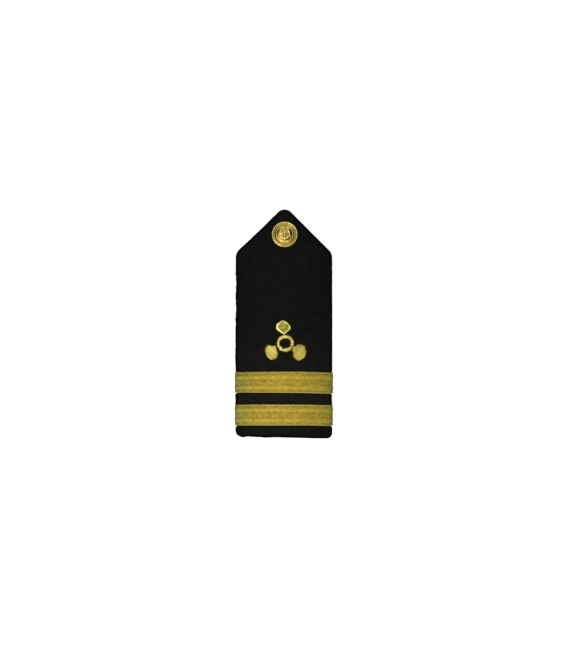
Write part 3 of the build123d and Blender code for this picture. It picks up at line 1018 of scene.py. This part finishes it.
# Painted highlights, bright spots on it: x and y from the button's middle, reach, strength
painted_highlights = [(-1.9, 0.0, 0.9, 1.0), (2.2, 1.6, 0.6, 0.9), (1.1, 0.1, 0.4, 0.7), (1.3, -4.2, 0.6, 0.5)]


def to_segment(x, y, start, end):
    """Each point's distance from a straight line between two points."""
    across, along = end[0] - start[0], end[1] - start[1]
    share = np.clip(((x - start[0]) * across + (y - start[1]) * along) / (across**2 + along**2), 0, 1)
    return np.hypot(x - start[0] - share * across, y - start[1] - share * along)


def anchor_relief(x, y):
    """The height, from 0 to 1, of a plain upright anchor round the button's middle."""
    arm_y, arm_radius, arm_turn = -1.15, 1.7, math.radians(65)
    from_down = np.abs(np.arctan2(x, arm_y - y))
    arms = ridge(np.hypot(x, y - arm_y) - arm_radius, 0.36) * (from_down < arm_turn)
    relief = np.maximum(ridge(np.hypot(x, y - 2.4) - 0.62, 0.24), arms)
    bars = [((0, 1.8), (0, -2.9), 0.36), ((-1.3, 1.08), (1.3, 1.08), 0.3)]
    for sign in (-1, 1):
        end = (sign * arm_radius * math.sin(arm_turn), arm_y - arm_radius * math.cos(arm_turn))
        tip = (end[0] * 0.93, end[1] + 0.75)
        barb = (end[0] + sign * 0.5, end[1] - 0.1)
        bars += [(end, tip, 0.34), (tip, barb, 0.24)]
    for start, end, half in bars:
        relief = np.maximum(relief, ridge(to_segment(x, y, start, end), half))
    return relief


def leaf_relief(x, y):
    """The height, from 0 to 1, of two sprays of paired leaves that curve up beside the anchor."""
    stem_radius = 3.1
    from_down = np.degrees(np.abs(np.arctan2(x, -y)))
    relief = 0.7 * ridge(np.hypot(x, y) - stem_radius, 0.14) * ((from_down > 25) & (from_down < 128))
    for turn in np.radians(np.linspace(30, 125, 6)):
        root_x, root_y = stem_radius * math.sin(turn), -stem_radius * math.cos(turn)
        for splay in np.radians([-34, 34]):
            way_x, way_y = math.cos(turn + splay), math.sin(turn + splay)
            along = (np.abs(x) - root_x) * way_x + (y - root_y) * way_y - 0.65
            across = (y - root_y) * way_x - (np.abs(x) - root_x) * way_y
            leaf = np.sqrt(np.clip(1 - (along / 0.68) ** 2 - (across / 0.31) ** 2, 0, 1))
            relief = np.maximum(relief, leaf * (1 - 0.3 * np.exp(-((across / 0.06) ** 2))))
    return relief


def dirt_shade_and_highlights(x, y, radius, turn, relief, rings, wear_and_highlight):
    """How much dirt and painted shade lie on the button's face, from 0 to 1, and how bright it is with its
    wear and painted highlights.
    """
    # Dirt and painted shade lie in the recesses, deepest in the crescents, and painted shade in the grooves
    # and on the broad ring, more at the sides
    sideways = smooth_step(0.3, 0.85, np.abs(np.cos(turn)))
    recess = (1 - smooth_step(0.1, 0.7, relief)) * smooth_step(4.75, 4.6, radius)
    dirt_and_shade = recess * (0.55 + (0.4 * sideways - 0.35) * smooth_step(2.6, 3.8, radius))
    for middle, reach, inner, outer, amount in dark_crescents:
        off = (np.degrees(turn) - middle + 180) % 360 - 180
        crescent = smooth_step(inner - 0.15, inner + 0.25, radius) * smooth_step(outer, outer - 0.15, radius)
        dirt_and_shade = np.maximum(dirt_and_shade, amount * crescent * np.exp(-((off / reach) ** 4)))
    dirt_and_shade = np.maximum(dirt_and_shade, 0.85 * np.exp(-(((x - 0.3) / 0.5) ** 4) - ((y - 4.0) / 0.85) ** 4))
    # Painted highlights, which clear the dirt and shade under them
    for spot_x, spot_y, reach, amount in painted_highlights:
        spot = amount * np.exp(-((((x - spot_x) ** 2 + (y - spot_y) ** 2) / reach**2) ** 2))
        wear_and_highlight = np.maximum(wear_and_highlight, spot)
        dirt_and_shade = dirt_and_shade * (1 - spot)
    # Painted shade between the rings and on the broad ring, more at the sides
    between = (1 - smooth_step(0.0, 0.13, rings)) * smooth_step(4.5, 4.6, radius) * (0.2 + 0.75 * sideways)
    dull = smooth_step(5.75, 5.9, radius) * smooth_step(6.85, 6.7, radius) * (0.12 + 0.26 * sideways)
    return np.clip(dirt_and_shade + between + dull, 0, 1), wear_and_highlight


def turned(radii, heights, turns):
    """A shape turned round the button's axis: its points, its quads and the faces that close its ends."""
    x, along = point_offset + radii * np.cos(turns), radii * np.sin(turns)
    points = at_station(x, along, button_base + heights, button_y)
    rings, size = points.shape[:2]
    caps = [np.arange(size), (np.arange(size) + (rings - 1) * size)[::-1]]
    return points, ring_quads(rings, size)[:, ::-1], caps


def make_button_face(material):
    """The struck gilt button: rings round a domed field with a raised figure."""
    start, pitch = 0.03, 0.052
    radii = np.concatenate([np.arange(start, button_radius, pitch), [button_radius]])
    turns = whole_turn(420)
    radius, turn = np.meshgrid(radii, turns, indexing="ij")
    x, y = radius * np.cos(turn), radius * np.sin(turn)
    rise = button_dome_height - button_rim_height
    ball = (button_field_radius**2 + rise**2) / (2 * rise)
    field = button_dome_height - ball + np.sqrt(ball**2 - np.minimum(radius, 6.0) ** 2)
    field = np.clip(field, button_rim_height, None)
    in_field = smooth_step(button_field_radius - 0.15, button_field_radius - 0.45, radius)
    relief = np.maximum(anchor_relief(x, y), leaf_relief(x, y)) * in_field
    # Raised tops and ring crests are painted bright, partly wear and partly painted highlight
    rings, wear_and_highlight = np.zeros_like(radius), 0.2 * smooth_step(0.6, 0.95, relief)
    for middle, half, most, worn in button_rings:
        crest = ridge(radius - middle * button_radius, half * button_radius)
        rings = np.maximum(rings, most * crest)
        wear_and_highlight = np.maximum(wear_and_highlight, worn * crest)
    height = field + rings + relief_height * relief + 0.015 * soft_noise(x, y, 0.5, 91)
    dirt_and_shade, wear_and_highlight = dirt_shade_and_highlights(x, y, radius, turn, relief, rings, wear_and_highlight)
    # The rounded edge and the flat back
    bends = np.linspace(0, math.pi / 2, 7)
    edge_radii = [button_radius, *(button_radius - button_edge_round * (1 - np.cos(bends))), post_radius]
    edge_heights = [1.2, *(button_edge_round * (1 - np.sin(bends))), 0.0]

    def with_edge(face, edge):
        """A value over the face, carried on over the edge and the back."""
        edge = np.broadcast_to(np.reshape(edge, (-1, 1)), (len(edge_radii), len(turns)))
        return np.concatenate([face, edge])

    points, quads, caps = turned(with_edge(radius, edge_radii), with_edge(height, edge_heights), turns)
    # The edge and back carry dirt and painted shade throughout
    tones = {"dirt_and_shade": with_edge(dirt_and_shade, 0.3), "wear_and_highlight": with_edge(wear_and_highlight, 0.0)}
    add_piece("gilt_button", points, quads, material, ["button"], tones=tones, caps=caps)


def make_button_post(material):
    """The button's post, rounded at its end, with the eye that the hairpin passes through."""
    post_round = 0.4
    bends = np.linspace(0, math.pi / 2, 6)
    radii = [0.9, 1.3, *[post_radius] * 3, *(post_radius - post_round * (1 - np.cos(bends)))]
    heights = [0.55, 0.5, 0.3, -2.0, -5.0, *(post_low - button_base + post_round * (1 - np.sin(bends)))]
    points, quads, caps = turned(np.array(radii)[:, None], np.array(heights)[:, None], whole_turn(64))
    # Dirt and painted shade over the whole post
    tones = {"dirt_and_shade": np.full(len(points) * 64, 0.35)}
    post = add_piece("button_post", points, quads, material, ["button"], tones=tones, caps=caps)
    along = eye_radius * np.cos(whole_turn(32))
    height = eye_height + eye_radius * np.sin(whole_turn(32))
    cut_out(post, [at_station(point_offset + x, along, height, button_y) for x in (4.0, -4.0)])


# The pieces underneath


def cut_out(piece, rings):
    """Cuts the straight hole that runs between two rings of points out of a piece."""
    count = len(rings[0])
    mesh = bpy.data.meshes.new("cutter")
    caps = [list(range(count))[::-1], list(range(count, 2 * count))]
    mesh.from_pydata((np.concatenate(rings) / 1000).tolist(), [], ring_quads(2, count).tolist() + caps)
    cutter = placed("cutter", mesh)
    cut = piece.modifiers.new("hole", "BOOLEAN")
    cut.operation = "DIFFERENCE"
    cut.solver = "EXACT"
    cut.object = cutter
    bpy.context.view_layer.update()
    done = bpy.data.meshes.new_from_object(piece.evaluated_get(bpy.context.evaluated_depsgraph_get()))
    piece.modifiers.clear()
    old = piece.data
    piece.data = done
    bpy.data.meshes.remove(old)
    bpy.data.objects.remove(cutter)


def make_panel(name, loop, low, high, low_round, high_round, material, slot):
    """A panel with rolled edges under the board, and in it the hole that the button's post passes through."""
    middle = np.broadcast_to(loop.mean(axis=0), loop.shape)
    points, quads, _, _ = slab(loop, middle, low, lambda x: high, low_round, high_round, 16)
    panel = add_piece(name, points, quads, material, [slot])
    welded(panel)
    x = point_offset + post_hole_radius * np.cos(whole_turn(48))
    along = post_hole_radius * np.sin(whole_turn(48))
    cut_out(panel, [at_station(x, along, height, button_y) for height in (-8.0, 8.0)])
    return panel


def make_backing(material):
    """The twill panel that closes the underside."""
    loop = rounded_loop(board_corners(backing_margin, 0.6), 0.6)
    backing = make_panel("backing_panel", loop, backing_low, backing_high, 0.35, 0.1, material, "backing")


def make_strap(material):
    """The leather strap."""
    loop = rounded_loop(strap_corners(), 0.5)
    strap = make_panel("leather_strap", loop, strap_low, strap_high, 0.28, 0.28, material, "strap")


def sewn(name, starts, ends, start_height, middle_height, end_height, material):
    """Single stitches from starts to ends, with heights over the underside at their ends and middles."""
    share = np.array([0.0, 0.12, 0.3, 0.5, 0.7, 0.88, 1.0])
    dip = np.array([0.0, 0.75, 1.0, 1.0, 1.0, 0.75, 0.0])
    plan = starts[:, None, :] + (ends - starts)[:, None, :] * share[:, None]
    line = start_height + (end_height - start_height) * share
    height = line + (middle_height - line) * dip
    lines = on_arch(plan[:, :, 0], plan[:, :, 1], height)
    points, quads, uv = tubes(lines, np.full(lines.shape[:2], 0.17), 8, 0.5)
    shades = np.repeat(np.random.default_rng(len(starts)).uniform(0.3, 0.7, len(starts)), 8 * len(share))
    add_piece(name, points, quads, material, uv=uv, tones={"shade": shades})


def make_seams(material):
    """The strap's edge stitching and sewn end, and the blind stitches round the backing."""
    pitch = 2.6
    stitch_length = 1.9
    half_row = 9.2
    loop = rounded_loop(strap_corners(2.0), pitch)
    ahead = np.roll(loop, -1, axis=0)
    starts, ends = [loop], [loop + (ahead - loop) * 0.72]
    across = np.arange(-half_row, half_row, pitch)
    for y in (strap_start + 5.0, strap_start + 8.0):
        for places, shift in ((starts, 0.0), (ends, stitch_length)):
            places.append(np.stack([point_offset + across + shift, np.full(len(across), y)], axis=1))
    starts, ends = np.concatenate(starts), np.concatenate(ends)
    in_leather, on_leather = strap_low + 0.2, strap_low - 0.03
    sewn("strap_seam", starts, ends, in_leather, on_leather, in_leather, material)
    inner = rounded_loop(board_corners(backing_margin + 0.7, 0.6), 2.8)
    away = outward(inner)
    outer = inner + away * 1.3 + quarter_turned(away) * 0.7
    clear = off_lace(inner[:, 1], 0.8) & off_lace(outer[:, 1], 0.8)
    starts, ends = inner[clear], outer[clear]
    in_twill, on_twill, in_cloth = backing_low + 0.2, backing_low - 0.05, 0.15
    sewn("backing_seam", starts, ends, in_twill, on_twill, in_cloth, material)


def make_fuzz(loop, material):
    """Stray wool fibres along the board's rolled edges."""
    rng = np.random.default_rng(41)
    count = 5200
    index = rng.integers(0, len(loop), count)
    away = outward(loop)[index]
    turn = rng.uniform(-0.35, 0.9, count)
    inset = top_rim_round * (1 - np.cos(turn))
    plan = loop[index] - away * inset[:, None] + rng.normal(0, 0.1, (count, 2))
    height = crown(plan[:, 0]) - top_rim_round * (1 - np.sin(turn))
    root = leaned(on_arch(plan[:, 0], plan[:, 1], height))
    clear = off_lace(root[:, 1], 0.2)
    root, away, turn = root[clear], away[clear], turn[clear]
    count = len(root)
    way = np.concatenate([away * np.cos(turn)[:, None], np.sin(turn)[:, None]], axis=1)
    way = way + rng.normal(0, 0.55, (count, 3))
    way /= np.linalg.norm(way, axis=1)[:, None]
    side = np.cross(way, rng.normal(0, 1, (count, 3)))
    side /= np.linalg.norm(side, axis=1)[:, None]
    length = rng.uniform(0.12, 0.4, count)[:, None]
    middle = root + way * length * 0.55 + rng.normal(0, 0.04, (count, 3))
    tip = root + way * length + rng.normal(0, 0.1, (count, 3))
    half_width_at_root = 0.014
    half = side * half_width_at_root
    narrow = half * 0.8
    points = [root - half, root + half, middle + narrow, middle - narrow, tip, tip + half * 0.2]
    quads = np.array([[0, 1, 2, 3], [3, 2, 5, 4]]) + np.arange(count)[:, None, None] * len(points)
    # The fibres carry the rolled edges' painted shade in full
    tones = {"rim": np.ones(count * len(points))}
    points = np.stack(points, axis=1)
    add_piece("wool_fibres", points, quads.reshape(-1, 4), material, tones=tones)


# The camera, the floor and the light


def make_camera():
    """Straight above, at the photograph's scale on the board's top."""
    data = bpy.data.cameras.new("camera")
    data.sensor_width = 36
    data.lens = 100
    top = lift + board_thickness - 1.0
    distance = photo_rows * mm_a_pixel * data.lens / data.sensor_width
    camera = placed("camera", data)
    camera.location = (0, view_y / 1000, (distance + top) / 1000)
    bpy.context.scene.camera = camera


def make_stage():
    """A pale, softly lit table, an even white surrounding, dimmer overhead, and a soft lamp at the left."""
    bpy.ops.mesh.primitive_plane_add(size=30)
    floor = bpy.context.object
    floor.name = "floor"
    material, tree = new_material("pale_floor", 0.9, specular=0.0)
    inputs = tree.nodes["Principled BSDF"].inputs
    inputs["Base Color"].default_value = (0.3, 0.3, 0.3, 1)
    inputs["Emission Color"].default_value = (1, 1, 1, 1)
    inputs["Emission Strength"].default_value = 0.85
    floor.data.materials.append(material)
    world = bpy.data.worlds.new("surrounding")
    world.use_nodes = True
    tree = world.node_tree
    sky_way = node(tree, "TexCoord").outputs["Generated"]
    upward = node(tree, "SeparateXYZ", {"Vector": sky_way}).outputs["Z"]
    background = tree.nodes["Background"]
    tree.links.new(grey_ramp(tree, upward, [(0.79, 1.0), (0.94, 0.32)]), background.inputs["Color"])
    background.inputs["Strength"].default_value = 1.25
    bpy.context.scene.world = world
    data = bpy.data.lights.new("side_lamp", "AREA")
    data.shape = "DISK"
    data.size = 0.9
    data.energy = 9
    lamp = placed("side_lamp", data)
    lamp.location = (-0.75, -0.55, 1.1)
    lamp.rotation_euler = (0.0, -math.radians(40), math.radians(36))
    bpy.context.scene.view_settings.view_transform = "Standard"


make_camera()
make_stage()
cloth = cloth_material()
gold = lace_material()
gold_tones = [
    (0.0, (0.15, 0.12, 0.01)),
    (0.45, (0.38, 0.315, 0.045)),
    (0.8, (0.62, 0.54, 0.12)),
    (1.0, (0.92, 0.88, 0.36)),
]
olive_tones = [(0.0, (0.1, 0.09, 0.002)), (1.0, (0.6, 0.53, 0.085))]
black_tones = [(0.0, (0.004, 0.004, 0.004)), (1.0, (0.03, 0.03, 0.03))]
satin = thread_material("satin_thread", gold_tones, 0.4, 0.3)
mottled = thread_material("filling_thread", olive_tones, 0.45, 0.3)
board_loop = make_board(cloth)
make_fuzz(board_loop, cloth)
make_lace("lower", lower_lace_y, 51, gold)
make_lace("upper", upper_lace_y, 61, gold)
make_side_blade("left_blade", left_blade_outline, -40, 0.61, 0.08, 71, satin)
make_side_blade("right_blade", right_blade_outline, 50, 0.6, 0.1, 81, satin)
make_hub(satin)
make_top_blade(satin, mottled)
gilt = gilt_material("gilt", (0.68, 0.48, 0.1), (0.5, 0.35, 0.06), 0.24, dirt_and_shade=True)
make_button_face(gilt)
make_button_post(gilt)
make_backing(twill_material())
make_strap(leather_material())
make_seams(thread_material("black_thread", black_tones, 0.6, 0.0))
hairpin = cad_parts["hairpin"]
hairpin.data.materials.clear()
hairpin.data.materials.append(gilt_material("brass_wire", (0.7, 0.52, 0.2), (0.4, 0.28, 0.1), 0.4))
